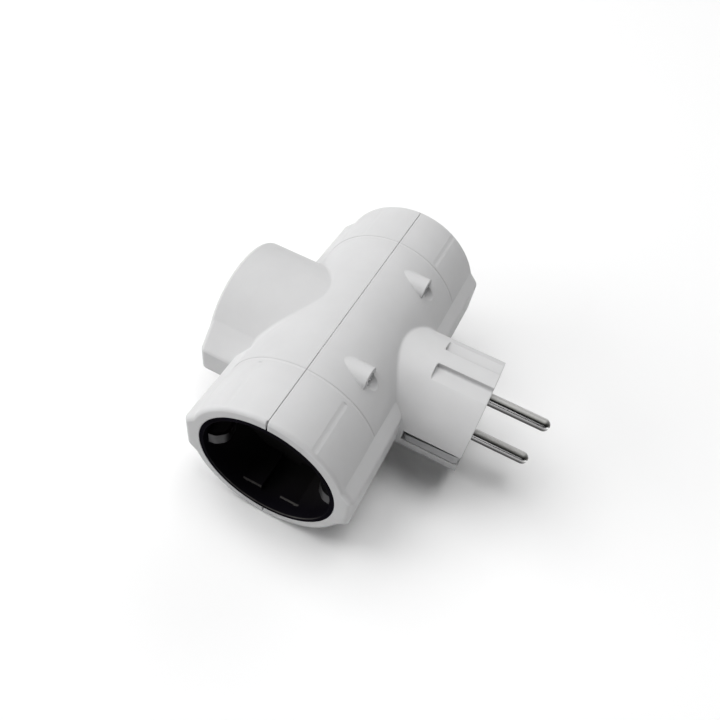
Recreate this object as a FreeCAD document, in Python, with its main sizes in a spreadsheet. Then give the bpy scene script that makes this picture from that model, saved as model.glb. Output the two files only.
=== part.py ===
import FreeCAD, Part
import os
import math
from FreeCAD import Vector, Rotation, Placement

# Three-way mains socket adapter with side earth contacts.
# A white barrel carries one socket at each end (right = -Y, left = +Y) and a
# third one at its back (-X); the plug nose with two pins points to +X.
# Every piece is drawn about the crossing of the barrel axis and the plug axis
# and is then placed so that the origin lies at the centre of the plug face.
# +X runs out along the pins, +Y along the barrel, +Z up. Millimetres.

os.makedirs("parts", exist_ok=True)
doc = FreeCAD.newDocument("socket_adapter")

# ---------------------------------------------------------------- dimensions
sheet = doc.addObject("Spreadsheet::Sheet", "dims")
DIMS = [
    ("barrel_radius", 24.8, "outer radius of the barrel"),
    ("barrel_length", 100.0, "rim to rim"),
    ("seat_radius", 21.5, "bore that takes a socket insert"),
    ("ledge_radius", 20.0, "stop ring behind each insert"),
    ("ledge_width", 2.0, "thickness of the stop ring"),
    ("rim_fillet", 1.2, "outer edge of each socket mouth"),
    ("nose_blend", 1.0, "where the plug nose runs into the barrel"),
    ("rear_blend", 1.3, "where the rear tube runs into the barrel"),
    ("plug_reach", 46.5, "plug face from the barrel axis"),
    ("nose_radius", 18.4, "plug nose"),
    ("nose_bore", 15.0, "cavity of the plug nose"),
    ("face_wall", 3.0, "end wall of the plug nose"),
    ("rear_reach", 38.0, "rear socket rim from the barrel axis"),
    ("rear_radius", 22.8, "outer radius of the rear socket tube"),
    ("rail_reach", 26.4, "outer face of the side rails"),
    ("rail_half", 6.2, "half height of the rail's outer face"),
    ("rail_root", 11.2, "height at which the rail's flank ends inside the wall"),
    ("rail_fillet", 1.8, "ends of the rails"),
    ("tube_rail_reach", 26.0, "outer face of the rails on the rear tube"),
    ("tube_rail_half", 4.2, "half height of that rail's outer face"),
    ("tube_rail_root", 14.6, "height at which that flank ends inside the wall"),
    ("collar_offset", 30.5, "collar groove from the middle"),
    ("collar_groove", 0.8, "width of the collar groove"),
    ("collar_depth", 0.08, "depth of the collar groove"),
    ("groove_depth", 0.3, "depth of the seam groove"),
    ("seam_groove", 0.16, "width of the seam groove"),
    ("finger_radius", 5.0, "cutter of the finger grooves"),
    ("finger_lift", 4.88, "centre of that cutter above the surface"),
    ("strip_angle", 31.8, "finger groove, degrees from the seam"),
    ("boss_offset", 20.6, "screw boss from the middle"),
    ("boss_height", 19.7, "screw axis above the middle plane"),
    ("boss_radius", 3.85, "screw boss at its end face"),
    ("boss_root", 4.5, "screw boss at the seam"),
    ("boss_reach", 15.0, "end face of the screw boss"),
    ("channel_radius", 2.2, "counterbore for the screw head"),
    ("head_seat", 12.8, "seat of the screw head"),
    ("screw_radius", 1.45, "screw shank"),
    ("screw_depth", 10.0, "screw tip behind the seam plane"),
    ("head_radius", 2.0, "screw head"),
    ("head_height", 2.0, "screw head"),
    ("pin_spacing", 19.0, "centre distance of the pins"),
    ("pin_radius", 2.0, "plug pin"),
    ("pin_length", 19.2, "pin beyond the plug face"),
    ("pin_neck", 1.75, "neck of the pin behind the plug face"),
    ("slot_top", 1.55, "upper lip of the earth slot in the plug nose"),
    ("slot_low", 2.95, "lower lip of that slot"),
    ("flat_soft", 0.6, "inner corners of the guide flats"),
    ("well_radius", 20.1, "socket well"),
    ("well_depth", 17.5, "socket well"),
    ("insert_radius", 21.4, "outside of the socket insert"),
    ("insert_depth", 20.0, "front of the rim to back of the floor"),
    ("rib_inner", 18.0, "inner face of the guide ribs"),
    ("rib_gap", 3.3, "half gap between two guide ribs"),
    ("rib_start", 4.0, "guide ribs begin below the rim"),
    ("hole_radius", 2.6, "pin holes in the well floor"),
    ("strip_thick", 0.8, "brass strip"),
    ("clip_thick", 0.6, "contact spring strip"),
    ("bar_level", 13.1, "inner face of the busbar from the middle"),
    ("bar_width", 6.0, "busbar"),
    ("tab_station", 33.0, "pin tab of the busbar"),
    ("earth_half", 2.1, "half height of the earth spring strip"),
    ("earth_base", 28.0, "base of the side earth springs from the middle"),
]
row = 1
for name, value, note in DIMS:
    sheet.set("A%d" % row, name.replace("_", " "))
    sheet.set("B%d" % row, "%g" % value)
    sheet.setAlias("B%d" % row, name)
    sheet.set("C%d" % row, note)
    row += 1
doc.recompute()


def val(name):
    return float(getattr(sheet, name))


ROT_X = Rotation(Vector(0, 1, 0), 90)      # local z runs along +X
ROT_NX = Rotation(Vector(0, 1, 0), -90)    # local z runs along -X
ROT_Y = Rotation(Vector(1, 1, 1), -120)    # local z runs along +Y, local x along +Z
ROT_NY = Rotation(Vector(1, 0, 0), 90)     # local z runs along -Y
ROT_Z = Rotation()


def bind(obj, prop, value):
    """A number is set, a text is bound as an expression on the sheet."""
    if isinstance(value, str):
        obj.setExpression(prop, value)
    else:
        if prop.startswith("Placement.Base."):
            base = obj.Placement.Base
            setattr(base, prop[-1], float(value))
            obj.Placement = Placement(base, obj.Placement.Rotation)
        else:
            setattr(obj, prop, value)


def place(obj, x, y, z, rot=ROT_Z):
    obj.Placement = Placement(Vector(0, 0, 0), rot)
    for axis, value in (("x", x), ("y", y), ("z", z)):
        if not isinstance(value, str):
            bind(obj, "Placement.Base." + axis, value)
    for axis, value in (("x", x), ("y", y), ("z", z)):
        if isinstance(value, str):
            bind(obj, "Placement.Base." + axis, value)


def cyl(name, radius, height, x=0.0, y=0.0, z=0.0, rot=ROT_Z):
    obj = doc.addObject("Part::Cylinder", name)
    bind(obj, "Radius", radius)
    bind(obj, "Height", height)
    place(obj, x, y, z, rot)
    return obj


def box(name, length, width, height, x, y, z, rot=ROT_Z):
    obj = doc.addObject("Part::Box", name)
    bind(obj, "Length", length)
    bind(obj, "Width", width)
    bind(obj, "Height", height)
    place(obj, x, y, z, rot)
    return obj


def fuse(name, items):
    obj = doc.addObject("Part::MultiFuse", name)
    obj.Shapes = items
    obj.Refine = False
    return obj


def cut(name, base, tool):
    obj = doc.addObject("Part::Cut", name)
    obj.Base = base
    obj.Tool = tool
    obj.Refine = False
    return obj


def common(name, items):
    obj = doc.addObject("Part::MultiCommon", name)
    obj.Shapes = items
    obj.Refine = False
    return obj


def fillet(name, base, chooser, radius):
    """Rounds the edges of base for which chooser(edge) is true."""
    doc.recompute()
    obj = doc.addObject("Part::Fillet", name)
    obj.Base = base
    edges = []
    for i, edge in enumerate(base.Shape.Edges):
        if chooser(edge):
            r = radius(edge) if callable(radius) else radius
            edges.append((i + 1, r, r))
    if not edges:
        raise RuntimeError("no edge found for " + name)
    obj.Edges = edges
    doc.recompute()
    return obj


def finish(obj, label):
    """Names a sub-part and moves it to the plug-face origin."""
    obj.Label = label
    obj.setExpression("Placement.Base.x", "-dims.plug_reach")
    SUBPARTS.append((label, obj))


SUBPARTS = []

# ------------------------------------------------------------ housing, outside
barrel = cyl("barrel_body", "dims.barrel_radius", "dims.barrel_length",
             0.0, "-dims.barrel_length / 2", 0.0, ROT_Y)
rear_tube = cyl("rear_tube", "dims.rear_radius", "dims.rear_reach",
                0.0, 0.0, 0.0, ROT_NX)
nose = cyl("nose_tube", "dims.nose_radius", "dims.plug_reach",
           0.0, 0.0, 0.0, ROT_X)
body = fuse("outer_tubes", [barrel, rear_tube, nose])
doc.recompute()


def is_valley(edge):
    """The closed curves where the tubes run into the barrel."""
    if not isinstance(edge.Curve, (Part.Circle, Part.Line)):
        box_ = edge.BoundBox
        return box_.XMax < 44.0 and box_.XMin > -36.0
    return False


def valley_radius(edge):
    return val("nose_blend") if edge.BoundBox.XMin > 0 else val("rear_blend")


body_soft = fillet("outer_soft", body, is_valley, valley_radius)

# the two faces of each tube end are rounded at their outer edge
def is_rim(edge):
    if isinstance(edge.Curve, Part.Circle):
        c, r = edge.Curve.Center, edge.Curve.Radius
        if abs(abs(c.y) - val("barrel_length") / 2) < 0.01 and abs(r - val("barrel_radius")) < 0.01:
            return True
        if abs(c.x + val("rear_reach")) < 0.01 and abs(r - val("rear_radius")) < 0.01:
            return True
    return False


body_rim = fillet("outer_rims", body_soft, is_rim, val("rim_fillet"))

# collar grooves round the barrel, cut before the rails are added
collars = []
for side, sign in (("right", "-"), ("left", "")):
    ring = cyl("collar_ring_" + side, "dims.barrel_radius + 2", "dims.collar_groove", 0.0,
               sign + "dims.collar_offset - dims.collar_groove / 2", 0.0, ROT_Y)
    core = cyl("collar_core_" + side, "dims.barrel_radius - dims.collar_depth", "dims.collar_groove + 1",
               0.0, sign + "dims.collar_offset - dims.collar_groove / 2 - 0.5", 0.0, ROT_Y)
    collars.append(cut("collar_groove_" + side, ring, core))

# finger grooves along the collars, four a side
fingers = []
for i, (sx, sz) in enumerate(((1, 1), (-1, 1), (1, -1), (-1, -1))):
    for j, sy in enumerate((1, -1)):
        reach = "(dims.barrel_radius + dims.finger_lift)"
        fx = "%d * %s * sin(dims.strip_angle * 1 deg)" % (sx, reach)
        fz = "%d * %s * cos(dims.strip_angle * 1 deg)" % (sz, reach)
        fy = "dims.collar_offset + 1.5" if sy > 0 else "-dims.barrel_length / 2 - 1"
        fingers.append(cyl("finger_groove_%d%d" % (i, j), "dims.finger_radius",
                           "dims.barrel_length / 2 - dims.collar_offset - 0.5", fx, fy, fz, ROT_Y))


def rail_profile(name, along_x, prefix, a, b):
    """Side rail section: slanted flanks from the tube to a flat outer face."""
    reach, half, root = val(prefix + "_reach"), val(prefix + "_half"), val(prefix + "_root")
    pts = [(b, root), (a, root), (reach, half), (reach, -half), (a, -root), (b, -root)]
    sk = doc.addObject("Sketcher::SketchObject", name)
    if along_x:
        # sketch x is global y, sketch y is global z
        sk.Placement = Placement(Vector(0, 0, 0), Rotation(Vector(1, 1, 1), 120))
    else:
        # sketch x is global x, sketch y is global z
        sk.Placement = Placement(Vector(0, 0, 0), Rotation(Vector(1, 0, 0), 90))
    n = len(pts)
    for i in range(n):
        p, q = pts[i], pts[(i + 1) % n]
        sk.addGeometry(Part.LineSegment(Vector(p[0], p[1], 0), Vector(q[0], q[1], 0)), False)
    import Sketcher
    for i in range(n):
        sk.addConstraint(Sketcher.Constraint("Coincident", i, 2, (i + 1) % n, 1))
    sk.addConstraint(Sketcher.Constraint("Vertical", 5))
    sk.addConstraint(Sketcher.Constraint("Horizontal", 0))
    sk.addConstraint(Sketcher.Constraint("Horizontal", 4))
    sk.addConstraint(Sketcher.Constraint("Symmetric", 1, 2, 2, 2, -1))
    sk.addConstraint(Sketcher.Constraint("Symmetric", 0, 2, 3, 2, -1))
    c = sk.addConstraint(Sketcher.Constraint("DistanceX", -1, 1, 1, 2, reach))
    sk.setExpression("Constraints[%d]" % c, "dims.%s_reach" % prefix)
    c = sk.addConstraint(Sketcher.Constraint("DistanceY", -1, 1, 1, 2, half))
    sk.setExpression("Constraints[%d]" % c, "dims.%s_half" % prefix)
    c = sk.addConstraint(Sketcher.Constraint("DistanceY", -1, 1, 0, 2, root))
    sk.setExpression("Constraints[%d]" % c, "dims.%s_root" % prefix)
    sk.addConstraint(Sketcher.Constraint("DistanceX", -1, 1, 0, 2, a))
    sk.addConstraint(Sketcher.Constraint("DistanceX", -1, 1, 0, 1, b))
    return sk


def extrude(name, sketch, direction, length):
    obj = doc.addObject("Part::Extrusion", name)
    obj.Base = sketch
    obj.DirMode = "Custom"
    obj.Dir = direction
    obj.LengthFwd = 10
    bind(obj, "LengthFwd", length)
    obj.Solid = True
    return obj


def rounded_rail(name, ext, axis, ends, reach, soft_radius):
    """Rounds the long outer edges and the ends of a rail."""
    doc.recompute()

    def long_outer(edge):
        if not isinstance(edge.Curve, Part.Line):
            return False
        bb = edge.BoundBox
        span = (bb.XLength, bb.YLength, bb.ZLength)
        other = (bb.YMin, bb.XMin)[axis == 1]
        return span[axis] > 5 and abs(abs(other) - reach) < 0.01

    soft = fillet(name + "_soft", ext, long_outer, soft_radius)

    def end_edge(edge):
        bb = edge.BoundBox
        lo = (bb.XMin, bb.YMin)[axis]
        hi = (bb.XMax, bb.YMax)[axis]
        if hi - lo > 0.01:
            return False
        if not any(abs(lo - e) < 0.01 for e in ends):
            return False
        far = max(abs(bb.YMax), abs(bb.YMin)) if axis == 0 else max(abs(bb.XMax), abs(bb.XMin))
        return far > reach - 3.7
    return fillet(name + "_round", soft, end_edge, val("rail_fillet"))


half_len = val("barrel_length") / 2
rail_sketch = rail_profile("rail_profile_side", False, "rail", 21.5, 12.0)
rail_front = extrude("rail_front_block", rail_sketch, Vector(0, 1, 0), "dims.barrel_length")
rail_front.setExpression("Placement.Base.y", "-dims.barrel_length / 2")
rail_front_r = rounded_rail("rail_front", rail_front, 1, (-half_len, half_len), val("rail_reach"), 2.3)
rail_rear_r = doc.addObject("Part::Mirroring", "rail_rear")
rail_rear_r.Source = rail_front_r
rail_rear_r.Base = Vector(0, 0, 0)
rail_rear_r.Normal = Vector(1, 0, 0)

tube_sketch = rail_profile("rail_profile_tube", True, "tube_rail", 17.2, 12.0)
tube_rail = extrude("tube_rail_block", tube_sketch, Vector(-1, 0, 0), "dims.rear_reach - 8")
tube_rail.setExpression("Placement.Base.x", "-8 mm")
tube_rail_l = rounded_rail("tube_rail", tube_rail, 0, (-val("rear_reach"),), val("tube_rail_reach"), 2.0)
tube_rail_r = doc.addObject("Part::Mirroring", "tube_rail_other")
tube_rail_r.Source = tube_rail_l
tube_rail_r.Base = Vector(0, 0, 0)
tube_rail_r.Normal = Vector(0, 1, 0)
doc.recompute()

# screw bosses on the front half, above and below
bosses, boss_bores, posts, pilots = [], [], [], []
for i, (sy, sz) in enumerate(((1, 1), (-1, 1), (1, -1), (-1, -1))):
    y = "%d * dims.boss_offset" % sy
    z = "%d * dims.boss_height" % sz
    boss = doc.addObject("Part::Cone", "boss_%d" % i)
    bind(boss, "Radius1", "dims.boss_root")
    bind(boss, "Radius2", "dims.boss_radius")
    bind(boss, "Height", "dims.boss_reach")
    place(boss, 0.0, y, z, ROT_X)
    bosses.append(boss)
    boss_bores.append(cyl("boss_channel_%d" % i, "dims.channel_radius", 20.0, "dims.head_seat", y, z, ROT_X))
    boss_bores.append(cyl("boss_hole_%d" % i, "dims.screw_radius + 0.15", 20.0, -1.0, y, z, ROT_X))
    posts.append(cyl("post_%d" % i, 3.9, 12.5, -12.5, y, z, ROT_X))
    pilots.append(cyl("pilot_%d" % i, "dims.screw_radius", "dims.screw_depth + 1",
                      "-dims.screw_depth", y, z, ROT_X))

# ------------------------------------------------------------- housing, inside
seat_gap = "dims.barrel_length / 2 - dims.insert_depth"
hollow = [
    cyl("seat_right", "dims.seat_radius", "dims.insert_depth + 1", 0.0, "-dims.barrel_length / 2 - 1", 0.0, ROT_Y),
    cyl("seat_left", "dims.seat_radius", "dims.insert_depth + 1", 0.0, seat_gap, 0.0, ROT_Y),
    cyl("ledge_bore", "dims.ledge_radius", "dims.barrel_length - 10", 0.0, "-dims.barrel_length / 2 + 5", 0.0, ROT_Y),
    cyl("middle_bore", "dims.seat_radius", "2 * (" + seat_gap + " - dims.ledge_width)", 0.0,
        "-(" + seat_gap + " - dims.ledge_width)", 0.0, ROT_Y),
    cyl("seat_rear", "dims.seat_radius", "dims.insert_depth + 1", "-dims.rear_reach - 1", 0.0, 0.0, ROT_X),
    cyl("ledge_bore_rear", "dims.ledge_radius", 20.0, -20.0, 0.0, 0.0, ROT_X),
    cyl("nose_cavity", "dims.nose_bore", "dims.plug_reach - dims.face_wall", 0.0, 0.0, 0.0, ROT_X),
]
hollow_all = fuse("hollow_all", hollow)

# pin holes, earth contact slots and the guide flats of the plug nose
nose_cuts = []
for i, sz in enumerate((1, -1)):
    nose_cuts.append(cyl("pin_hole_%d" % i, "dims.pin_radius + 0.05", 12.0, "dims.plug_reach - 10", 0.0,
                         "%d * dims.pin_spacing / 2" % sz, ROT_X))
for i, sy in enumerate((1, -1)):
    lo = 16.5 if sy > 0 else -21.5
    nose_cuts.append(box("earth_slot_%d" % i, "dims.plug_reach - 29.4 + 1", 5.0,
                         "dims.slot_top + dims.slot_low", 29.4, lo, "-dims.slot_low"))
    lo = 13.5 if sy > 0 else -21.5
    nose_cuts.append(box("earth_entry_%d" % i, 1.8, 8.0, "dims.slot_top + dims.slot_low", 28.0, lo, "-dims.slot_low"))
    for j, sz in enumerate((1, -1)):
        ly = 2.9 if sy > 0 else -14.9
        lz = 16.45 if sz > 0 else -21.45
        block = box("guide_flat_block_%d%d" % (i, j), "dims.plug_reach - 28.9 + 1", 12.0, 5.0, 28.9, ly, lz)
        corner = Vector(28.9, 2.9 * sy, 16.45 * sz)

        def meets_corner(edge, corner=corner):
            return any((v.Point - corner).Length < 0.01 for v in edge.Vertexes)

        nose_cuts.append(fillet("guide_flat_%d%d" % (i, j), block, meets_corner, val("flat_soft")))

# seam groove on top and below, with a small jog at each collar
seam_cuts = []
for i, sz in enumerate((1, -1)):
    z0 = "dims.barrel_radius - dims.groove_depth" if sz > 0 else "-dims.barrel_radius - 2"
    seam_cuts.append(box("seam_groove_%d" % i, "dims.seam_groove", "dims.barrel_length + 2",
                         "dims.groove_depth + 2", "-dims.seam_groove / 2", "-dims.barrel_length / 2 - 1", z0))
    z1 = "dims.barrel_radius - 3.8" if sz > 0 else "-dims.barrel_radius - 0.2"
    seam_cuts.append(box("seam_notch_r%d" % i, 0.5, 0.9, 4.0, -0.38, "-dims.barrel_length / 2 - 0.1", z1))
    seam_cuts.append(box("seam_notch_l%d" % i, 0.5, 0.9, 4.0, -0.38, "dims.barrel_length / 2 - 0.8", z1))

body_collared = cut("body_collared", body_rim, fuse("collar_cuts", collars))
body_grooved = cut("body_grooved", body_collared, fuse("finger_cuts", fingers))
outer_rails = body_grooved
for i, rail in enumerate((rail_front_r, rail_rear_r, tube_rail_l, tube_rail_r)):
    outer_rails = fuse("outer_rails_%d" % i, [outer_rails, rail])
outer_hollow = cut("outer_hollow", outer_rails, hollow_all)
outer_open = cut("outer_open", outer_hollow, fuse("open_cuts", nose_cuts + seam_cuts))
doc.recompute()

front_half = box("front_half", 80.0, 120.0, 80.0, 0.0, -60.0, -40.0)
rear_half = box("rear_half", 80.0, 120.0, 80.0, -80.0, -60.0, -40.0)
front_raw = common("front_raw", [outer_open, front_half])
rear_raw = common("rear_raw", [outer_open, rear_half])

# screw posts stay inside the barrel's own outline
post_limit = cyl("post_limit", "dims.barrel_radius - 0.3", 70.0, 0.0, -35.0, 0.0, ROT_Y)
posts_all = fuse("posts_all", posts)
posts_in = common("posts_in", [posts_all, post_limit])
front_bossed = fuse("front_bossed", [front_raw] + bosses)
front_tools = fuse("front_tools", boss_bores)
housing_front = cut("housing_front", front_bossed, front_tools)
rear_posted = fuse("rear_posted", [rear_raw, posts_in])
rear_tools = fuse("rear_tools", pilots)
housing_rear = cut("housing_rear", rear_posted, rear_tools)
doc.recompute()
finish(housing_front, "housing_front")
finish(housing_rear, "housing_rear")

# --------------------------------------------------------------- sketch helpers
import Sketcher


def origin_plane(body_, role):
    for feature in body_.Origin.OriginFeatures:
        if feature.Role == role:
            return feature
    raise RuntimeError(role)


def new_body(name):
    return doc.addObject("PartDesign::Body", name)


def new_sketch(body_, name, role, offset=0.0):
    sk = body_.newObject("Sketcher::SketchObject", name)
    sk.AttachmentSupport = [(origin_plane(body_, role), "")]
    sk.MapMode = "FlatFace"
    if isinstance(offset, str):
        sk.setExpression("AttachmentOffset.Base.z", offset)
    elif offset:
        sk.AttachmentOffset = Placement(Vector(0, 0, offset), Rotation())
    return sk


def polygon(sk, pts):
    start = sk.GeometryCount
    n = len(pts)
    for i in range(n):
        p, q = pts[i], pts[(i + 1) % n]
        sk.addGeometry(Part.LineSegment(Vector(p[0], p[1], 0), Vector(q[0], q[1], 0)), False)
    for i in range(n):
        sk.addConstraint(Sketcher.Constraint("Coincident", start + i, 2, start + (i + 1) % n, 1))
    return start


def circle(sk, x, y, radius):
    """A circle; radius and centre height may be bound to the sheet."""
    yy = y if not isinstance(y, str) else 5.0
    rr = radius if not isinstance(radius, str) else 2.0
    g = sk.addGeometry(Part.Circle(Vector(x, yy, 0), Vector(0, 0, 1), rr), False)
    c = sk.addConstraint(Sketcher.Constraint("Radius", g, rr))
    if isinstance(radius, str):
        sk.setExpression("Constraints[%d]" % c, radius)
    if x == 0:
        sk.addConstraint(Sketcher.Constraint("PointOnObject", g, 3, -2))
    else:
        sk.addConstraint(Sketcher.Constraint("DistanceX", -1, 1, g, 3, x))
    if isinstance(y, str):
        c = sk.addConstraint(Sketcher.Constraint("DistanceY", -1, 1, g, 3, yy))
        sk.setExpression("Constraints[%d]" % c, y)
    elif y == 0:
        sk.addConstraint(Sketcher.Constraint("PointOnObject", g, 3, -1))
    else:
        sk.addConstraint(Sketcher.Constraint("DistanceY", -1, 1, g, 3, y))
    return g


def pad(body_, name, sk, length, reverse=False, midplane=False):
    f = body_.newObject("PartDesign::Pad", name)
    f.Profile = sk
    if isinstance(length, str):
        f.Length = 1.0
        f.setExpression("Length", length)
    else:
        f.Length = length
    if midplane:
        f.Midplane = True
    f.Reversed = reverse
    doc.recompute()
    return f


def pocket(body_, name, sk, length, reverse=False, midplane=False):
    before = body_.Shape.Volume
    f = body_.newObject("PartDesign::Pocket", name)
    f.Profile = sk
    if isinstance(length, str):
        f.Length = 1.0
        f.setExpression("Length", length)
    else:
        f.Length = length
    if midplane:
        f.Midplane = True
    f.Reversed = reverse
    doc.recompute()
    if not body_.Shape.Volume < before - 0.01:
        raise RuntimeError("pocket cuts nothing: " + name)
    return f


# ------------------------------------------------------------- socket inserts
# Drawn with the mouth at local z = 0 and the well going to -z.
# Local x is the earth-contact direction, local y the pin direction.
def build_insert(label):
    b = new_body(label)
    sk = new_sketch(b, label + "_disc", "XY_Plane")
    circle(sk, 0, 0, "dims.insert_radius")
    pad(b, label + "_cup", sk, "dims.insert_depth", reverse=True)
    sk = new_sketch(b, label + "_well_sk", "XY_Plane")
    circle(sk, 0, 0, "dims.well_radius")
    pocket(b, label + "_well", sk, "dims.well_depth")
    # guide ribs: two segments above and two below
    rib_in, gap, wr = val("rib_inner"), val("rib_gap"), val("well_radius") + 0.5
    edge = math.sqrt(val("well_radius") ** 2 - rib_in ** 2) + 0.35
    sk = new_sketch(b, label + "_rib_sk", "XY_Plane", "-dims.rib_start")
    for sy in (1, -1):
        for sx in (1, -1):
            far = math.sqrt(wr ** 2 - edge ** 2)
            polygon(sk, [(sx * gap, sy * rib_in), (sx * edge, sy * rib_in), (sx * edge, sy * far),
                         (sx * (gap + edge) / 2, sy * wr * 0.955), (sx * gap, sy * 20.3)])
    pad(b, label + "_ribs", sk, "dims.well_depth - dims.rib_start", reverse=True)
    # pin holes
    sk = new_sketch(b, label + "_hole_sk", "XY_Plane")
    circle(sk, 0, "dims.pin_spacing / 2", "dims.hole_radius")
    g = sk.addGeometry(Part.Circle(Vector(0, -9.5, 0), Vector(0, 0, 1), 2.6), False)
    sk.addConstraint(Sketcher.Constraint("Equal", 0, g))
    sk.addConstraint(Sketcher.Constraint("Symmetric", 0, 3, g, 3, -1, 1))
    pocket(b, label + "_holes", sk, "dims.insert_depth + 1")
    # slots that let the earth springs through the floor
    sk = new_sketch(b, label + "_slot_sk", "XY_Plane")
    for sx in (1, -1):
        polygon(sk, [(sx * 17.9, -2.4), (sx * 19.7, -2.4), (sx * 19.7, 2.4), (sx * 17.9, 2.4)])
    pocket(b, label + "_slots", sk, "dims.insert_depth + 1")
    # contact chambers on the back of the floor, open towards the busbars
    sk = new_sketch(b, label + "_chamber_sk", "XY_Plane", "-dims.insert_depth")
    for sy in (1, -1):
        polygon(sk, [(-4.7, sy * 5.0), (4.7, sy * 5.0), (4.7, sy * 13.1), (3.6, sy * 13.1),
                     (3.6, sy * 6.0), (-3.6, sy * 6.0), (-3.6, sy * 13.1), (-4.7, sy * 13.1)])
    pad(b, label + "_chambers", sk, 10.0, reverse=True)
    return b


def set_place(body_, x_expr, y_expr, rot):
    body_.Placement = Placement(Vector(0, 0, 0), rot)
    body_.setExpression("Placement.Base.x", x_expr)
    if y_expr:
        body_.setExpression("Placement.Base.y", y_expr)


def frame_rotation(xdir, ydir, zdir):
    m = FreeCAD.Matrix(xdir.x, ydir.x, zdir.x, 0, xdir.y, ydir.y, zdir.y, 0,
                       xdir.z, ydir.z, zdir.z, 0, 0, 0, 0, 1)
    return Placement(m).Rotation


# mouth directions of the three sockets, local y stays vertical
ROT_RIGHT = frame_rotation(Vector(1, 0, 0), Vector(0, 0, 1), Vector(0, -1, 0))
ROT_LEFT = frame_rotation(Vector(-1, 0, 0), Vector(0, 0, 1), Vector(0, 1, 0))
ROT_REAR = frame_rotation(Vector(0, -1, 0), Vector(0, 0, 1), Vector(-1, 0, 0))
SOCKETS = (
    ("right", ROT_RIGHT, "-dims.plug_reach", "-dims.barrel_length / 2"),
    ("left", ROT_LEFT, "-dims.plug_reach", "dims.barrel_length / 2"),
    ("rear", ROT_REAR, "-dims.plug_reach - dims.rear_reach", None),
)
for side, rot, xe, ye in SOCKETS:
    b = build_insert("socket_insert_" + side)
    set_place(b, xe, ye, rot)
    b.Label = "socket_insert_" + side
    SUBPARTS.append((b.Label, b))

# ------------------------------------------------------------- contact springs
# A folded strip grips the pin between two waisted legs and is riveted to the
# busbar by its web. Local frame as for the insert that it stands behind.
def build_clip(label, up):
    b = new_body(label)
    lv, t = val("bar_level"), val("clip_thick")
    sk = new_sketch(b, label + "_sk", "XY_Plane", "-dims.insert_depth - 0.6")
    outer = [(3.3, lv), (3.3, 11.6), (2.55, 9.6), (2.55, 9.0), (3.1, 6.8), (3.3, 6.4)]
    inner = [(3.3 - t, 6.4), (2.55 - t + 0.0, 8.95), (2.55 - t, 9.6), (3.3 - t, 11.75), (3.3 - t, lv - t)]
    right = outer + inner
    left = [(-x, y) for x, y in reversed(inner)] + [(-x, y) for x, y in reversed(outer)]
    pts = [(x, up * y) for x, y in right + left]
    polygon(sk, pts)
    pad(b, label + "_strip", sk, 8.8, reverse=True)
    return b


for pole, up in (("live", 1), ("neutral", -1)):
    for side, rot, xe, ye in SOCKETS:
        label = "%s_contact_%s" % (pole, side)
        b = build_clip(label, up)
        set_place(b, xe, ye, rot)
        b.Label = label
        SUBPARTS.append((label, b))

# ------------------------------------------------------------------- busbars
# A stamped cross of brass strip; its front arm is bent over to the pin.
def build_busbar(label, up):
    b = new_body(label)
    hw = val("bar_width") / 2
    arm = val("barrel_length") / 2 - val("insert_depth") - 0.6
    back = val("rear_reach") - val("insert_depth") - 0.6
    tab = val("tab_station")
    t = val("strip_thick")
    level = val("bar_level")
    sk = new_sketch(b, label + "_cross", "XY_Plane",
                    "dims.bar_level" if up > 0 else "-dims.bar_level - dims.strip_thick")
    pts = [(-back, -hw), (-hw, -hw), (-hw, -arm), (hw, -arm), (hw, -hw), (tab + t, -hw),
           (tab + t, hw), (hw, hw), (hw, arm), (-hw, arm), (-hw, hw), (-back, hw)]
    polygon(sk, pts)
    pad(b, label + "_plate", sk, "dims.strip_thick")
    # tab towards the pin with its rivet hole, drawn in the plane across the plug axis
    sk = new_sketch(b, label + "_tab_sk", "YZ_Plane", "dims.tab_station")
    z1, z2 = up * (level + 0.4), up * 6.2
    polygon(sk, [(-hw, z1), (hw, z1), (hw, z2), (-hw, z2)])
    pad(b, label + "_tab", sk, "dims.strip_thick")
    sk = new_sketch(b, label + "_tab_hole_sk", "YZ_Plane", "dims.tab_station - 1")
    circle(sk, 0, up * 9.5, 1.5)
    pocket(b, label + "_tab_hole", sk, "dims.strip_thick + 2", reverse=True)
    # rivet holes over the three contact springs
    sk = new_sketch(b, label + "_rivet_sk", "XY_Plane",
                    "dims.bar_level - 1" if up > 0 else "-dims.bar_level - dims.strip_thick - 1")
    for x, y in RIVETS:
        g = sk.addGeometry(Part.Circle(Vector(x, y, 0), Vector(0, 0, 1), 1.0), False)
        sk.addConstraint(Sketcher.Constraint("Radius", g, 1.0))
    pocket(b, label + "_rivet_holes", sk, "dims.strip_thick + 2", reverse=True)
    b.setExpression("Placement.Base.x", "-dims.plug_reach")
    return b


rivet_run = val("insert_depth") + 0.6 + 4.4
RIVETS = [(0.0, -(val("barrel_length") / 2 - rivet_run)), (0.0, val("barrel_length") / 2 - rivet_run),
          (-(val("rear_reach") - rivet_run), 0.0)]

# the springs' webs carry the same rivet holes
for pole, up in (("live", 1), ("neutral", -1)):
    for side, rot, xe, ye in SOCKETS:
        b = dict(SUBPARTS)["%s_contact_%s" % (pole, side)]
        sk = new_sketch(b, b.Name + "_hole_sk", "XZ_Plane")
        g = sk.addGeometry(Part.Circle(Vector(0, -rivet_run, 0), Vector(0, 0, 1), 1.0), False)
        sk.addConstraint(Sketcher.Constraint("Radius", g, 1.0))
        pocket(b, b.Name + "_hole", sk, 20.0, reverse=(up < 0))

for pole, up in (("live", 1), ("neutral", -1)):
    b = build_busbar(pole + "_busbar", up)
    b.Label = pole + "_busbar"
    SUBPARTS.append((b.Label, b))

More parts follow.
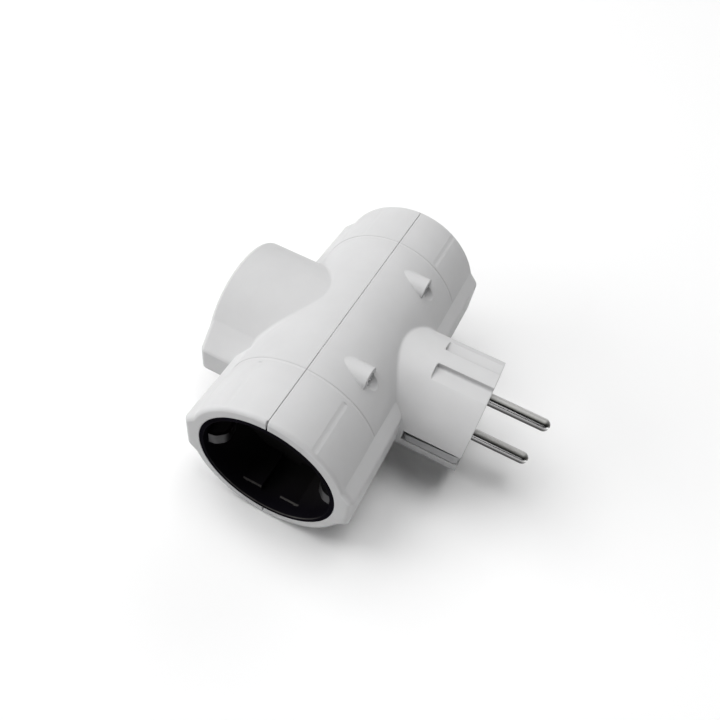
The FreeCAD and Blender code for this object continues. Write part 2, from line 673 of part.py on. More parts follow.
# rivets, three a pole, as one group each
for pole, up in (("live", 1), ("neutral", -1)):
    pieces = []
    for i, (x, y) in enumerate(RIVETS):
        lo = 12.5 - 0.5
        z0 = lo if up > 0 else -lo
        rot = ROT_Z if up > 0 else Rotation(Vector(1, 0, 0), 180)
        shank = cyl("%s_rivet_shank_%d" % (pole, i), 1.0, 2.6, x, y, z0, rot)
        foot = cyl("%s_rivet_foot_%d" % (pole, i), 1.7, 0.5, x, y, z0, rot)
        top = cyl("%s_rivet_top_%d" % (pole, i), 1.9, 0.7, x, y, z0 + up * 1.9, rot)
        pieces.append(fuse("%s_rivet_%d" % (pole, i), [shank, foot, top]))
    group = doc.addObject("Part::Compound", pole + "_rivets")
    group.Links = pieces
    doc.recompute()
    finish(group, pole + "_rivets")

# ------------------------------------------------------------------ plug pins
def build_pin(label, up):
    b = new_body(label)
    sk = new_sketch(b, label + "_half", "XZ_Plane")
    reach, r, rs, ln = val("plug_reach"), val("pin_radius"), val("pin_neck"), val("pin_length")
    tab, t = val("tab_station"), val("strip_thick")
    tip = reach + ln
    h = up * val("pin_spacing") / 2
    pts = [(tab - 0.7, 0.0), (tab - 0.7, 1.7), (tab, 1.7), (tab, 1.45), (tab + t, 1.45), (tab + t, 1.7),
           (35.4, 1.7), (35.4, 3.3), (37.4, 3.3), (37.4, rs),
           (reach + 0.15, rs), (reach + 0.15, r), (tip - r, r)]
    n = len(pts)
    for i in range(n - 1):
        p, q = pts[i], pts[i + 1]
        sk.addGeometry(Part.LineSegment(Vector(p[0], h + p[1], 0), Vector(q[0], h + q[1], 0)), False)
    sk.addGeometry(Part.ArcOfCircle(Part.Circle(Vector(tip - r, h, 0), Vector(0, 0, 1), r), 0, math.pi / 2), False)
    sk.addGeometry(Part.LineSegment(Vector(tip, h, 0), Vector(tab - 0.7, h, 0)), False)
    for i in range(n - 2):
        sk.addConstraint(Sketcher.Constraint("Coincident", i, 2, i + 1, 1))
    sk.addConstraint(Sketcher.Constraint("Coincident", n - 2, 2, n - 1, 2))
    sk.addConstraint(Sketcher.Constraint("Coincident", n - 1, 1, n, 1))
    sk.addConstraint(Sketcher.Constraint("Coincident", n, 2, 0, 1))
    rev = b.newObject("PartDesign::Revolution", label + "_turned")
    rev.Profile = sk
    rev.ReferenceAxis = (sk, ["Edge%d" % (n + 1)])
    rev.Angle = 360
    doc.recompute()
    b.setExpression("Placement.Base.x", "-dims.plug_reach")
    return b


for pole, up in (("live", 1), ("neutral", -1)):
    b = build_pin("plug_pin_" + pole, up)
    b.Label = "plug_pin_" + pole
    SUBPARTS.append((b.Label, b))

# insulating carrier that holds both pins behind the plug's end wall
carrier = new_body("pin_carrier")
sk = new_sketch(carrier, "carrier_disc", "YZ_Plane", 37.4)
circle(sk, 0, 0, "dims.nose_bore - 0.1")
pad(carrier, "carrier_plate", sk, "dims.plug_reach - dims.face_wall - 37.4")
sk = new_sketch(carrier, "carrier_holes_sk", "YZ_Plane", 36.0)
circle(sk, 0, "dims.pin_spacing / 2", "dims.pin_neck + 0.05")
g = sk.addGeometry(Part.Circle(Vector(0, -9.5, 0), Vector(0, 0, 1), 1.8), False)
sk.addConstraint(Sketcher.Constraint("Equal", 0, g))
sk.addConstraint(Sketcher.Constraint("Symmetric", 0, 3, g, 3, -1, 1))
pocket(carrier, "carrier_holes", sk, 12.0, reverse=True)
carrier.setExpression("Placement.Base.x", "-dims.plug_reach")
SUBPARTS.append(("pin_carrier", carrier))
carrier.Label = "pin_carrier"

# ------------------------------------------------------------- earth contacts
def offset_strip(points, t):
    """Closed outline of a bent strip of thickness t about an open polyline."""
    n = len(points)
    left, right = [], []
    for i in range(n):
        if i == 0:
            d = (points[1][0] - points[0][0], points[1][1] - points[0][1])
        elif i == n - 1:
            d = (points[-1][0] - points[-2][0], points[-1][1] - points[-2][1])
        else:
            a = (points[i][0] - points[i - 1][0], points[i][1] - points[i - 1][1])
            c = (points[i + 1][0] - points[i][0], points[i + 1][1] - points[i][1])
            la, lc = math.hypot(*a), math.hypot(*c)
            d = (a[0] / la + c[0] / lc, a[1] / la + c[1] / lc)
        ld = math.hypot(*d)
        nx, ny = -d[1] / ld, d[0] / ld
        k = 1.0
        if 0 < i < n - 1:
            la = math.hypot(*a)
            cosv = (nx * (-a[1]) + ny * a[0]) / la
            k = 1.0 / max(cosv, 0.5)
        left.append((points[i][0] + nx * t / 2 * k, points[i][1] + ny * t / 2 * k))
        right.append((points[i][0] - nx * t / 2 * k, points[i][1] - ny * t / 2 * k))
    return left + right[::-1]


def round_path(corner_pts, radii, steps=6):
    """Replaces each inner corner by a run of short chords of an arc."""
    out = [corner_pts[0]]
    for i in range(1, len(corner_pts) - 1):
        p0, p1, p2 = corner_pts[i - 1], corner_pts[i], corner_pts[i + 1]
        a = (p0[0] - p1[0], p0[1] - p1[1])
        c = (p2[0] - p1[0], p2[1] - p1[1])
        la, lc = math.hypot(*a), math.hypot(*c)
        a = (a[0] / la, a[1] / la)
        c = (c[0] / lc, c[1] / lc)
        half = math.acos(max(-1, min(1, a[0] * c[0] + a[1] * c[1]))) / 2
        dist = min(radii[i - 1] / math.tan(half), 0.48 * la, 0.48 * lc)
        r = dist * math.tan(half)
        bis = (a[0] + c[0], a[1] + c[1])
        lb = math.hypot(*bis)
        centre = (p1[0] + bis[0] / lb * r / math.sin(half), p1[1] + bis[1] / lb * r / math.sin(half))
        s = (p1[0] + a[0] * dist, p1[1] + a[1] * dist)
        e = (p1[0] + c[0] * dist, p1[1] + c[1] * dist)
        a0 = math.atan2(s[1] - centre[1], s[0] - centre[0])
        a1 = math.atan2(e[1] - centre[1], e[0] - centre[0])
        da = (a1 - a0 + math.pi) % (2 * math.pi) - math.pi
        for k in range(steps + 1):
            ang = a0 + da * k / steps
            out.append((centre[0] + r * math.cos(ang), centre[1] + r * math.sin(ang)))
    out.append(corner_pts[-1])
    return out


# U-shaped spring of one socket: a base behind the floor and two bowed arms
# that stand inside the well. Local x across, local z out of the mouth.
def build_earth_spring(label, base_depth):
    b = new_body(label)
    half_pts = [(0.0, -base_depth), (18.8, -base_depth), (18.8, -17.0), (15.3, -8.2), (14.9, -4.4),
                (17.3, -2.2), (19.4, -1.9)]
    radii = [1.2, 2.5, 2.6, 2.4, 2.0]
    right = round_path(half_pts, radii)
    left = [(-x, y) for x, y in reversed(right[1:])]
    path = left + right[1:]
    outline = offset_strip(path, val("strip_thick"))
    sk = new_sketch(b, label + "_sk", "XZ_Plane")
    polygon(sk, outline)
    pad(b, label + "_strip", sk, "2 * dims.earth_half", midplane=True)
    return b


for side, rot, xe, ye in SOCKETS:
    label = "earth_spring_" + side
    b = build_earth_spring(label, 22.0)
    set_place(b, xe, ye, rot)
    b.Label = label
    SUBPARTS.append((label, b))

# plug earth bracket: a cross strip inside the nose and two arms in its slots
plug_earth = new_body("plug_earth_bracket")
arm_pts = [(45.9, -17.35), (44.6, -17.6), (28.6, -17.6), (28.6, 17.6), (44.6, 17.6), (45.9, 17.35)]
arm = round_path(arm_pts, [1.0, 0.9, 0.9, 1.0], 4)
sk = new_sketch(plug_earth, "plug_earth_sk", "XY_Plane")
polygon(sk, offset_strip(arm, val("strip_thick")))
pad(plug_earth, "plug_earth_strip", sk, 5.5, midplane=True)
# the upper edge of the arms falls towards the barrel
sk = new_sketch(plug_earth, "plug_earth_taper", "XZ_Plane")
polygon(sk, [(20.0, -0.15), (29.5, -0.15), (46.6, 0.75), (46.6, 3.5), (20.0, 3.5)])
pocket(plug_earth, "plug_earth_trim", sk, 60.0, midplane=True)
plug_earth.setExpression("Placement.Base.x", "-dims.plug_reach")
plug_earth.Label = "plug_earth_bracket"
SUBPARTS.append(("plug_earth_bracket", plug_earth))

# earth busbar: a flat cross with a tab bent at each end, welded to the springs
earth_bar = new_body("earth_busbar")
t = val("strip_thick")
ya = val("barrel_length") / 2 - 22.0 - t / 2
xa = val("rear_reach") - 22.0 - t / 2
xf = 28.6 - t / 2
hw = 3.5
sk = new_sketch(earth_bar, "earth_cross", "XY_Plane", -0.4)
polygon(sk, [(-xa, -hw), (-hw, -hw), (-hw, -ya), (hw, -ya), (hw, -hw), (xf, -hw),
             (xf, hw), (hw, hw), (hw, ya), (-hw, ya), (-hw, hw), (-xa, hw)])
pad(earth_bar, "earth_plate", sk, "dims.strip_thick")
sk = new_sketch(earth_bar, "earth_tabs_y", "XY_Plane", -0.4)
for s in (1, -1):
    polygon(sk, [(-hw, s * (ya - t)), (hw, s * (ya - t)), (hw, s * ya), (-hw, s * ya)])
polygon(sk, [(-xa, -hw), (-xa + t, -hw), (-xa + t, hw), (-xa, hw)])
pad(earth_bar, "earth_tabs", sk, 2.4)
sk = new_sketch(earth_bar, "earth_tab_front", "XY_Plane", 0.4)
polygon(sk, [(xf - t, -hw), (xf, -hw), (xf, hw), (xf - t, hw)])
pad(earth_bar, "earth_front_tab", sk, 2.4, reverse=True)
earth_bar.setExpression("Placement.Base.x", "-dims.plug_reach")
earth_bar.Label = "earth_busbar"
SUBPARTS.append(("earth_busbar", earth_bar))

# --------------------------------------------------------------- housing screws
screws = []
for i, (sy, sz) in enumerate(((1, 1), (-1, 1), (1, -1), (-1, -1))):
    y = "%d * dims.boss_offset" % sy
    z = "%d * dims.boss_height" % sz
    shank = cyl("screw_shank_%d" % i, "dims.screw_radius", "dims.screw_depth + dims.head_seat",
                "-dims.screw_depth", y, z, ROT_X)
    head = cyl("screw_head_%d" % i, "dims.head_radius", "dims.head_height", "dims.head_seat", y, z, ROT_X)
    solid = fuse("screw_blank_%d" % i, [shank, head])
    slot_a = box("screw_slot_a_%d" % i, 2.0, 3.4, 0.8, "dims.head_seat + dims.head_height - 1.1",
                 "%d * dims.boss_offset - 1.7" % sy, "%d * dims.boss_height - 0.4" % sz)
    slot_b = box("screw_slot_b_%d" % i, 2.0, 0.8, 3.4, "dims.head_seat + dims.head_height - 1.1",
                 "%d * dims.boss_offset - 0.4" % sy, "%d * dims.boss_height - 1.7" % sz)
    cross = fuse("screw_cross_%d" % i, [slot_a, slot_b])
    screws.append(cut("screw_%d" % i, solid, cross))
screw_group = doc.addObject("Part::Compound", "housing_screws")
screw_group.Links = screws
doc.recompute()
finish(screw_group, "housing_screws")

# ------------------------------------------------------------------- checking
doc.recompute()
for obj in doc.Objects:
    bad = [s for s in obj.State if s in ("Invalid", "Error")]
    if bad:
        raise RuntimeError("%s is %s" % (obj.Name, bad))
labels = [label for label, _ in SUBPARTS]
if len(labels) != len(set(labels)):
    raise RuntimeError("two sub-parts share a label")
for label, obj in SUBPARTS:
    shape = obj.Shape
    if shape.isNull() or not shape.isValid():
        raise RuntimeError("bad shape: " + label)
    if obj.Label != label:
        raise RuntimeError("label was changed: " + obj.Label)
for label, obj in SUBPARTS:
    obj.Shape.exportStep("parts/%s.step" % label)
    bb = obj.Shape.BoundBox
    print("%-24s solids %d  volume %9.1f  x %.2f %.2f  y %.2f %.2f  z %.2f %.2f" % (
        label, len(obj.Shape.Solids), obj.Shape.Volume, bb.XMin, bb.XMax, bb.YMin, bb.YMax, bb.ZMin, bb.ZMax))
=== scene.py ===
import math

import bpy
from mathutils import Matrix, Vector


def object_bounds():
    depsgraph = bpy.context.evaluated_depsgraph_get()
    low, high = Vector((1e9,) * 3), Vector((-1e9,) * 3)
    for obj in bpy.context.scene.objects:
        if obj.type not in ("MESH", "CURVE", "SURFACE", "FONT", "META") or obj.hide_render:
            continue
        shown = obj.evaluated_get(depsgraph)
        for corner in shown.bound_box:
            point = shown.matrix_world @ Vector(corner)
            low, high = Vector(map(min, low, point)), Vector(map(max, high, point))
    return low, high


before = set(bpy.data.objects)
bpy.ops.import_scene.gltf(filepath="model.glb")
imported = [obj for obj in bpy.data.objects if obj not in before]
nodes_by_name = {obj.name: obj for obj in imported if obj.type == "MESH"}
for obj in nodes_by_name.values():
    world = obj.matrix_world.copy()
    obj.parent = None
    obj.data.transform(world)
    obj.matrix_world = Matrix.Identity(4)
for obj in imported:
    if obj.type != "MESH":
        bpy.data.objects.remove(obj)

# Looks of a three-way mains adapter: satin white shells, black socket inserts,
# nickel pins and springs. Everything is in metres in the CAD frame.

cad_box = [list(map(float, v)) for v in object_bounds()]
AXIS_X = -0.0465          # the barrel axis lies at this x, z = 0
RIM_Y = 0.050             # the side sockets' rims
REAR_X = -0.0845          # the rear socket's rim
PIN_Z = 0.0095            # the pins lie this far above and below the plug axis


# painted reflections: tone bands round the pins against the way the surface faces, underside first
PIN_REFLECTION_TONES = [(0.00, (0.012, 0.012, 0.012)), (0.09, (0.018, 0.018, 0.018)), (0.17, (0.20, 0.20, 0.20)),
             (0.27, (0.46, 0.46, 0.46)), (0.36, (0.96, 0.96, 0.96)), (0.42, (0.94, 0.94, 0.94)),
             (0.47, (0.20, 0.20, 0.20)), (0.55, (0.10, 0.10, 0.09)), (0.64, (0.17, 0.17, 0.165)),
             (0.74, (0.38, 0.38, 0.37)), (0.86, (0.54, 0.54, 0.53)), (1.00, (0.80, 0.80, 0.79))]


# ------------------------------------------------------------ node tree helpers
class Tree:
    def __init__(self, name):
        self.mat = bpy.data.materials.new(name)
        self.mat.use_nodes = True
        self.nt = self.mat.node_tree
        self.nt.nodes.clear()
        self.out = self.nt.nodes.new("ShaderNodeOutputMaterial")
        self.bsdf = self.nt.nodes.new("ShaderNodeBsdfPrincipled")
        self.nt.links.new(self.bsdf.outputs[0], self.out.inputs[0])
        self.coord = self.nt.nodes.new("ShaderNodeTexCoord").outputs["Object"]

    def link(self, a, b):
        self.nt.links.new(a, b)

    def set(self, **values):
        for key, value in values.items():
            self.bsdf.inputs[key.replace("_", " ")].default_value = value

    def noise(self, scale, detail=3.0, rough=0.55, vector=None, distortion=0.0):
        n = self.nt.nodes.new("ShaderNodeTexNoise")
        n.inputs["Scale"].default_value = scale
        n.inputs["Detail"].default_value = detail
        n.inputs["Roughness"].default_value = rough
        n.inputs["Distortion"].default_value = distortion
        self.link(vector or self.coord, n.inputs["Vector"])
        return n.outputs["Fac"]

    def stretch(self, x, y, z):
        m = self.nt.nodes.new("ShaderNodeMapping")
        m.inputs["Scale"].default_value = (x, y, z)
        self.link(self.coord, m.inputs["Vector"])
        return m.outputs[0]

    def xyz(self):
        s = self.nt.nodes.new("ShaderNodeSeparateXYZ")
        self.link(self.coord, s.inputs[0])
        return s.outputs[0], s.outputs[1], s.outputs[2]

    def math(self, op, a, b=None, clamp=False):
        m = self.nt.nodes.new("ShaderNodeMath")
        m.operation = op
        m.use_clamp = clamp
        for i, v in enumerate((a, b)):
            if v is None:
                continue
            if isinstance(v, (int, float)):
                m.inputs[i].default_value = v
            else:
                self.link(v, m.inputs[i])
        return m.outputs[0]

    def span(self, value, lo, hi, to_lo=0.0, to_hi=1.0, smooth=False):
        r = self.nt.nodes.new("ShaderNodeMapRange")
        r.interpolation_type = "SMOOTHSTEP" if smooth else "LINEAR"
        for key, v in zip(("From Min", "From Max", "To Min", "To Max"), (lo, hi, to_lo, to_hi)):
            r.inputs[key].default_value = v
        self.link(value, r.inputs["Value"])
        return r.outputs[0]

    def ramp(self, fac, stops):
        r = self.nt.nodes.new("ShaderNodeValToRGB")
        el = r.color_ramp.elements
        while len(el) < len(stops):
            el.new(0.5)
        for e, (pos, col) in zip(el, stops):
            e.position = pos
            e.color = (*col, 1.0)
        self.link(fac, r.inputs[0])
        return r.outputs[0]

    def mix(self, fac, a, b):
        m = self.nt.nodes.new("ShaderNodeMix")
        m.data_type = "RGBA"
        for key, v in (("Factor", fac), ("A", a), ("B", b)):
            sock = [s for s in m.inputs if s.name == key and
                    (s.type == "RGBA" or key == "Factor" and s.type == "VALUE")][0]
            if isinstance(v, (int, float)):
                sock.default_value = v
            elif isinstance(v, tuple):
                sock.default_value = (*v, 1.0)
            else:
                self.link(v, sock)
        return [s for s in m.outputs if s.type == "RGBA"][0]

    def bump(self, height, strength, distance, normal=None):
        b = self.nt.nodes.new("ShaderNodeBump")
        b.inputs["Strength"].default_value = strength
        b.inputs["Distance"].default_value = distance
        self.link(height, b.inputs["Height"])
        if normal is not None:
            self.link(normal, b.inputs["Normal"])
        return b.outputs[0]

    def facing(self, x, y, z):
        """How far the surface faces along a fixed direction, -1 to 1."""
        g = self.nt.nodes.new("ShaderNodeNewGeometry")
        d = self.nt.nodes.new("ShaderNodeVectorMath")
        d.operation = "DOT_PRODUCT"
        self.link(g.outputs["Normal"], d.inputs[0])
        d.inputs[1].default_value = Vector((x, y, z)).normalized()
        return d.outputs["Value"]

    def soft_edges(self, radius):
        b = self.nt.nodes.new("ShaderNodeBevel")
        b.samples = 6
        b.inputs["Radius"].default_value = radius
        return b.outputs[0]


def white_plastic():
    """Satin moulded shell: fine spark-eroded grain, faint clouding, painted shade on faces turned down and to -Y,
    painted light in the parting and collar gaps and painted shade in the parting one.
    """
    t = Tree("white_plastic")
    x, y, z = t.xyz()
    cloud = t.noise(55.0, 4.0, 0.6)
    base = t.ramp(cloud, [(0.30, (0.588, 0.588, 0.591)), (0.70, (0.624, 0.624, 0.627))])
    grain = t.noise(2600.0, 2.0, 0.5)
    base = t.mix(t.span(grain, 0.3, 0.7, 0.0, 0.06), base, (0.520, 0.520, 0.525))
    # painted shade, fixed to the object: faces that turn down and to -Y are darker
    under = t.span(t.facing(0.0, -0.55, -0.83), 0.40, 1.0, 0.0, 0.62)
    base = t.mix(under, base, (0.060, 0.060, 0.064))
    # the parting and collar gaps are deep; the parting one gets a painted shade, towards nearly black
    dx = t.math("SUBTRACT", x, AXIS_X)
    rad = t.math("SQRT", t.math("ADD", t.math("MULTIPLY", dx, dx), t.math("MULTIPLY", z, z)))
    below = t.span(rad, 0.02466, 0.02475, 1.0, 0.0)
    on_seam = t.span(t.math("ABSOLUTE", dx), 0.00011, 0.00015, 1.0, 0.0)
    off_rim = t.span(t.math("ABSOLUTE", y), 0.0492, 0.0494, 1.0, 0.0)
    seam_painted_shade = t.math("MULTIPLY", t.math("MULTIPLY", below, on_seam), off_rim)
    # the joint's painted shade varies along its length: none in the middle, growing towards the ends
    seam_painted_shade = t.math("MULTIPLY", seam_painted_shade, t.span(t.math("ABSOLUTE", y), 0.020, 0.036, 0.0, 0.22))
    dy = t.math("ABSOLUTE", t.math("SUBTRACT", t.math("ABSOLUTE", y), 0.0305))
    on_collar = t.span(dy, 0.00030, 0.00036, 1.0, 0.0)
    # painted light: the gaps are painted light grey, standing in for the light they bounce, so they read grey,
    # not black
    gap_painted_light = t.math("MULTIPLY", t.math("MULTIPLY", below, off_rim), t.math("MAXIMUM", on_seam, t.math("MULTIPLY", on_collar, 0.3)))
    gap_painted_light = t.math("MULTIPLY", gap_painted_light, t.span(t.math("ABSOLUTE", y), 0.020, 0.040, 1.0, 0.7))
    base = t.mix(gap_painted_light, base, (0.96, 0.96, 0.96))
    base = t.mix(seam_painted_shade, base, (0.012, 0.012, 0.016))
    t.link(base, t.bsdf.inputs["Base Color"])
    rough = t.span(t.noise(420.0, 3.0), 0.3, 0.7, 0.50, 0.62)
    t.link(rough, t.bsdf.inputs["Roughness"])
    n = t.bump(grain, 0.10, 0.00004, t.soft_edges(0.0005))
    n = t.bump(t.noise(260.0, 2.0), 0.06, 0.00012, n)
    t.link(n, t.bsdf.inputs["Normal"])
    t.set(Subsurface_Weight=0.06, Subsurface_Scale=0.0015, Specular_IOR_Level=0.32)
    t.bsdf.inputs["Subsurface Radius"].default_value = (1.0, 0.9, 0.85)
    return t.mat


def black_plastic():
    """Black insert with a hint of purple; painted highlights on the guide ribs' front edges and the lower inner
    lip, and painted light towards the well's floor.
    """
    t = Tree("black_plastic")
    x, y, z = t.xyz()
    cloud = t.noise(90.0, 4.0, 0.6)
    base = t.ramp(cloud, [(0.3, (0.0040, 0.0036, 0.0050)), (0.7, (0.0065, 0.0058, 0.0085))])
    # depth below the rim and distance from the socket's own axis
    side = t.math("SUBTRACT", RIM_Y, t.math("ABSOLUTE", y))
    rear = t.math("SUBTRACT", x, REAR_X)
    is_rear = t.math("LESS_THAN", rear, 0.0165)
    depth = t.math("ADD", t.math("MULTIPLY", rear, is_rear),
                   t.math("MULTIPLY", side, t.math("SUBTRACT", 1.0, is_rear)))
    dx = t.math("SUBTRACT", x, AXIS_X)
    across = t.math("ADD", t.math("MULTIPLY", y, is_rear),
                    t.math("MULTIPLY", dx, t.math("SUBTRACT", 1.0, is_rear)))
    rad = t.math("SQRT", t.math("ADD", t.math("MULTIPLY", across, across), t.math("MULTIPLY", z, z)))
    highlight_breakup = t.span(t.noise(260.0, 3.0), 0.35, 0.62, 0.45, 1.0)
    # painted highlight on the front edges of the guide ribs
    off = t.math("ABSOLUTE", t.math("SUBTRACT", depth, 0.0041))
    rib = t.math("MULTIPLY", t.span(off, 0.00018, 0.00042, 1.0, 0.0),
                 t.span(t.math("ABSOLUTE", z), 0.01835, 0.0186, 1.0, 0.0))
    rib = t.math("MULTIPLY", rib, t.span(t.math("ABSOLUTE", z), 0.0176, 0.0178))
    rib = t.math("MULTIPLY", rib, t.span(rad, 0.0203, 0.0204, 1.0, 0.0))
    # painted highlight on the inner edge of the rim, strongest on its lower side and fading towards its top
    lip = t.math("MULTIPLY", t.span(depth, 0.00015, 0.00035, 1.0, 0.0),
                 t.span(rad, 0.02015, 0.02035, 1.0, 0.0))
    lip = t.math("MULTIPLY", lip, t.span(z, -0.017, -0.008, 1.0, 0.05))
    # painted light: the well is painted a lighter black towards its floor
    base = t.mix(t.span(depth, 0.003, 0.016), base, (0.0210, 0.0200, 0.0195))
    painted_highlight = t.math("MULTIPLY", t.math("MAXIMUM", t.math("MULTIPLY", rib, 0.9), t.math("MULTIPLY", lip, 0.8)), highlight_breakup)
    base = t.mix(painted_highlight, base, (0.135, 0.130, 0.125))
    t.link(base, t.bsdf.inputs["Base Color"])
    rough = t.span(t.noise(300.0, 4.0), 0.3, 0.7, 0.30, 0.44)
    t.link(rough, t.bsdf.inputs["Roughness"])
    n = t.bump(t.noise(1500.0, 2.0), 0.10, 0.00003)
    t.link(n, t.bsdf.inputs["Normal"])
    t.set(Specular_IOR_Level=0.0)
    return t.mat


def carrier_plastic():
    t = Tree("carrier_plastic")
    base = t.ramp(t.noise(120.0, 4.0), [(0.3, (0.50, 0.46, 0.39)), (0.7, (0.58, 0.54, 0.47))])
    t.link(base, t.bsdf.inputs["Base Color"])
    t.link(t.span(t.noise(500.0, 3.0), 0.3, 0.7, 0.45, 0.6), t.bsdf.inputs["Roughness"])
    t.link(t.bump(t.noise(1800.0, 2.0), 0.12, 0.00004), t.bsdf.inputs["Normal"])
    return t.mat


def nickel_pin():
    """Drawn and plated: fine streaks rubbed along the pin. The tone bands round
    it are painted, fixed to the pin, and stand in for a studio's reflections."""
    t = Tree("nickel_pin")
    streak = t.noise(1.0, 3.0, 0.6, t.stretch(40.0, 1500.0, 1500.0))
    x, y, z = t.xyz()
    above = t.math("MULTIPLY", t.math("SUBTRACT", t.math("ABSOLUTE", z), PIN_Z), t.math("SIGN", z))
    turn = t.math("ADD", t.math("MULTIPLY", y, 0.764), t.math("MULTIPLY", above, 0.645))
    turn = t.span(turn, -0.002, 0.002)
    tone = t.ramp(turn, PIN_REFLECTION_TONES)
    base = t.mix(t.span(streak, 0.3, 0.7, 0.0, 0.22), tone, (0.30, 0.295, 0.28))
    t.link(base, t.bsdf.inputs["Base Color"])
    rough = t.math("ADD", t.span(streak, 0.3, 0.7, 0.0, 0.10), t.span(turn, 0.50, 0.68, 0.17, 0.50))
    t.link(rough, t.bsdf.inputs["Roughness"])
    t.link(t.bump(streak, 0.02, 0.00001), t.bsdf.inputs["Normal"])
    t.set(Metallic=1.0)
    return t.mat


def metal_strip(name, dark, light, lo, hi, grain):
    t = Tree(name)
    streak = t.noise(1.0, 4.0, 0.6, t.stretch(*grain))
    cloud = t.noise(160.0, 4.0, 0.6)
    base = t.ramp(t.math("ADD", t.math("MULTIPLY", streak, 0.6), t.math("MULTIPLY", cloud, 0.4)),
                  [(0.32, dark), (0.68, light)])
    t.link(base, t.bsdf.inputs["Base Color"])
    t.link(t.span(streak, 0.3, 0.7, lo, hi), t.bsdf.inputs["Roughness"])
    t.link(t.bump(streak, 0.15, 0.00003), t.bsdf.inputs["Normal"])
    t.set(Metallic=1.0)
    return t.mat


MATS = {
    "white": white_plastic(),
    "black": black_plastic(),
    "carrier": carrier_plastic(),
    "pin": nickel_pin(),
    # a very dark metal colour for the springs, a painted shade for the shade they sit in inside the sockets
    "spring": metal_strip("spring_painted_shade", (0.036, 0.0355, 0.038), (0.072, 0.071, 0.073), 0.36, 0.50,
                          (400.0, 400.0, 3000.0)),
    # the strip's own plated grey, darkened a little as a painted shade for the shade under the plug's nose
    "bracket": metal_strip("plated_strip", (0.29, 0.29, 0.295), (0.335, 0.335, 0.34), 0.46, 0.56,
                           (300.0, 400.0, 2400.0)),
    "brass": metal_strip("brass_strip", (0.52, 0.38, 0.17), (0.76, 0.58, 0.30), 0.24, 0.42,
                         (3000.0, 300.0, 600.0)),
    "screw": metal_strip("screw_steel", (0.66, 0.66, 0.67), (0.84, 0.84, 0.85), 0.46, 0.62,
                         (300.0, 2600.0, 2600.0)),
}


def material_for(name):
    if name.startswith("housing_screws"):
        return MATS["screw"]
    if name.startswith("housing"):
        return MATS["white"]
    if name.startswith("socket_insert"):
        return MATS["black"]
    if name == "pin_carrier":
        return MATS["carrier"]
    if name.startswith("plug_pin"):
        return MATS["pin"]
    if name.startswith("earth_spring"):
        return MATS["spring"]
    if name == "plug_earth_bracket":
        return MATS["bracket"]
    if name.endswith("_rivets"):
        return MATS["screw"]
    return MATS["brass"]


for name, obj in nodes_by_name.items():
    objs = obj if isinstance(obj, (list, tuple)) else [obj]
    for o in objs:
        if o.type != "MESH":
            continue
        mat = material_for(name)
        if not o.material_slots:
            o.data.materials.append(mat)
        for slot in o.material_slots:
            slot.material = mat

# ----------------------------------------------------------------------- stage
FLOOR_Z = cad_box[0][2] - 0.00005
mesh = bpy.data.meshes.new("floor")
s = 3.0
mesh.from_pydata([(-s, -s, FLOOR_Z), (s, -s, FLOOR_Z), (s, s, FLOOR_Z), (-s, s, FLOOR_Z)], [], [(0, 1, 2, 3)])
floor = bpy.data.objects.new("floor", mesh)
bpy.context.collection.objects.link(floor)
ft = Tree("floor_paper")
tint = ft.ramp(ft.noise(3.0, 3.0), [(0.3, (0.955, 0.955, 0.955)), (0.7, (0.975, 0.975, 0.975))])
ft.link(tint, ft.bsdf.inputs["Base Color"])
ft.set(Roughness=0.9, Specular_IOR_Level=0.1)
mesh.materials.append(ft.mat)

# ---------------------------------------------------------------------- camera
cam_data = bpy.data.cameras.new("camera")
cam = bpy.data.objects.new("camera", cam_data)
bpy.context.collection.objects.link(cam)
cam_data.sensor_width = 36.0
cam_data.lens = 32.115
cam_data.clip_start = 0.01
cam_data.clip_end = 20.0
right = Vector((0.88828, 0.43845, 0.13685)).normalized()
back = Vector((0.18281, -0.61082, 0.77038)).normalized()
up = back.cross(right).normalized()
right = up.cross(back).normalized()
m = Matrix((
    (right.x, up.x, back.x, -0.004042),
    (right.y, up.y, back.y, -0.125935),
    (right.z, up.z, back.z, 0.158823),
    (0, 0, 0, 1)))
cam.matrix_world = m
bpy.context.scene.camera = cam

# ---------------------------------------------------------------------- lights
centre = Vector((-0.033, 0.0, 0.0))


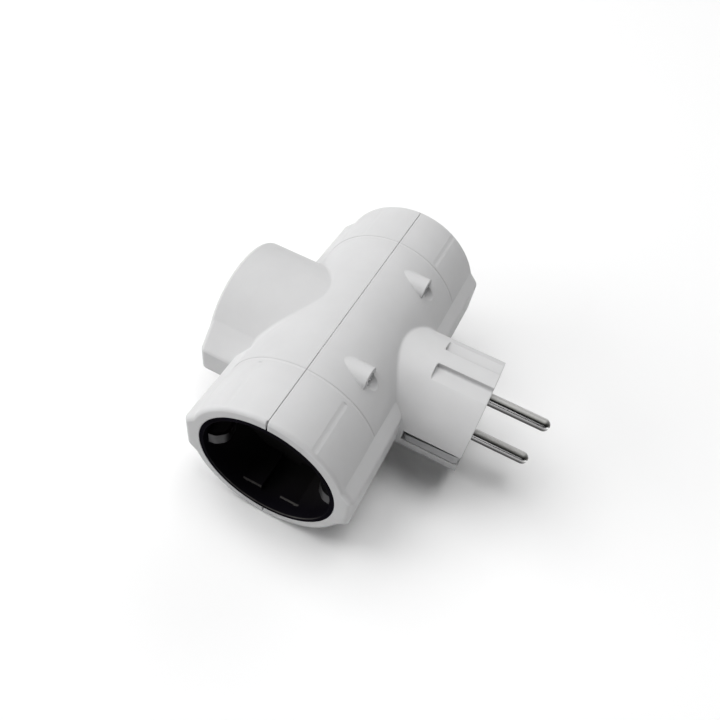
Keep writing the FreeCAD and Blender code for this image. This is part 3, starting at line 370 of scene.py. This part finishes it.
def area(name, where, size, power, colour=(1, 1, 1), shape="RECTANGLE", size_y=None):
    data = bpy.data.lights.new(name, "AREA")
    data.shape = shape
    data.size = size
    if size_y:
        data.size_y = size_y
    data.energy = power
    data.color = colour
    o = bpy.data.objects.new(name, data)
    bpy.context.collection.objects.link(o)
    o.location = Vector(where)
    o.rotation_mode = "QUATERNION"
    o.rotation_quaternion = (centre - o.location).to_track_quat("-Z", "Y")
    return o


area("key", (-1.30, -0.10, 1.85), 1.6, 29.5, (1.0, 1.0, 1.0), size_y=1.6)
area("top", (0.10, 0.20, 2.30), 1.2, 23.5, (1.0, 1.0, 1.0), size_y=1.2)
area("left", (-1.60, -1.00, 0.70), 1.2, 14.4, (1.0, 1.0, 1.0), size_y=0.8)
area("front", (-0.30, -1.70, 0.80), 0.9, 1.4, (1.0, 1.0, 1.0), size_y=0.6)
area("right", (1.75, 0.20, 0.60), 0.9, 0.4, (1.0, 1.0, 1.0), size_y=0.9)
area("back", (0.10, 1.90, 1.20), 2.2, 11.0, (1.0, 1.0, 1.0), size_y=1.5)

world = bpy.data.worlds.new("studio")
bpy.context.scene.world = world
world.use_nodes = True
wt = world.node_tree
wt.nodes.clear()
wo = wt.nodes.new("ShaderNodeOutputWorld")
bg = wt.nodes.new("ShaderNodeBackground")
tc = wt.nodes.new("ShaderNodeTexCoord")
sep = wt.nodes.new("ShaderNodeSeparateXYZ")
rampw = wt.nodes.new("ShaderNodeValToRGB")
mr = wt.nodes.new("ShaderNodeMapRange")
mr.inputs["From Min"].default_value = -0.2
mr.inputs["From Max"].default_value = 1.0
wt.links.new(tc.outputs["Generated"], sep.inputs[0])
wt.links.new(sep.outputs[2], mr.inputs["Value"])
wt.links.new(mr.outputs[0], rampw.inputs[0])
rampw.color_ramp.elements[0].color = (0.35, 0.35, 0.37, 1)
rampw.color_ramp.elements[1].color = (1.0, 1.0, 1.0, 1)
wt.links.new(rampw.outputs[0], bg.inputs["Color"])
# a dim room for the light, with a plain bright wall far behind
path = wt.nodes.new("ShaderNodeLightPath")
glow = wt.nodes.new("ShaderNodeMapRange")
glow.inputs["To Min"].default_value = 0.03
glow.inputs["To Max"].default_value = 2.1
wt.links.new(path.outputs["Is Camera Ray"], glow.inputs["Value"])
wt.links.new(glow.outputs[0], bg.inputs["Strength"])
wt.links.new(bg.outputs[0], wo.inputs[0])
bpy.context.scene.view_settings.view_transform = "Standard"
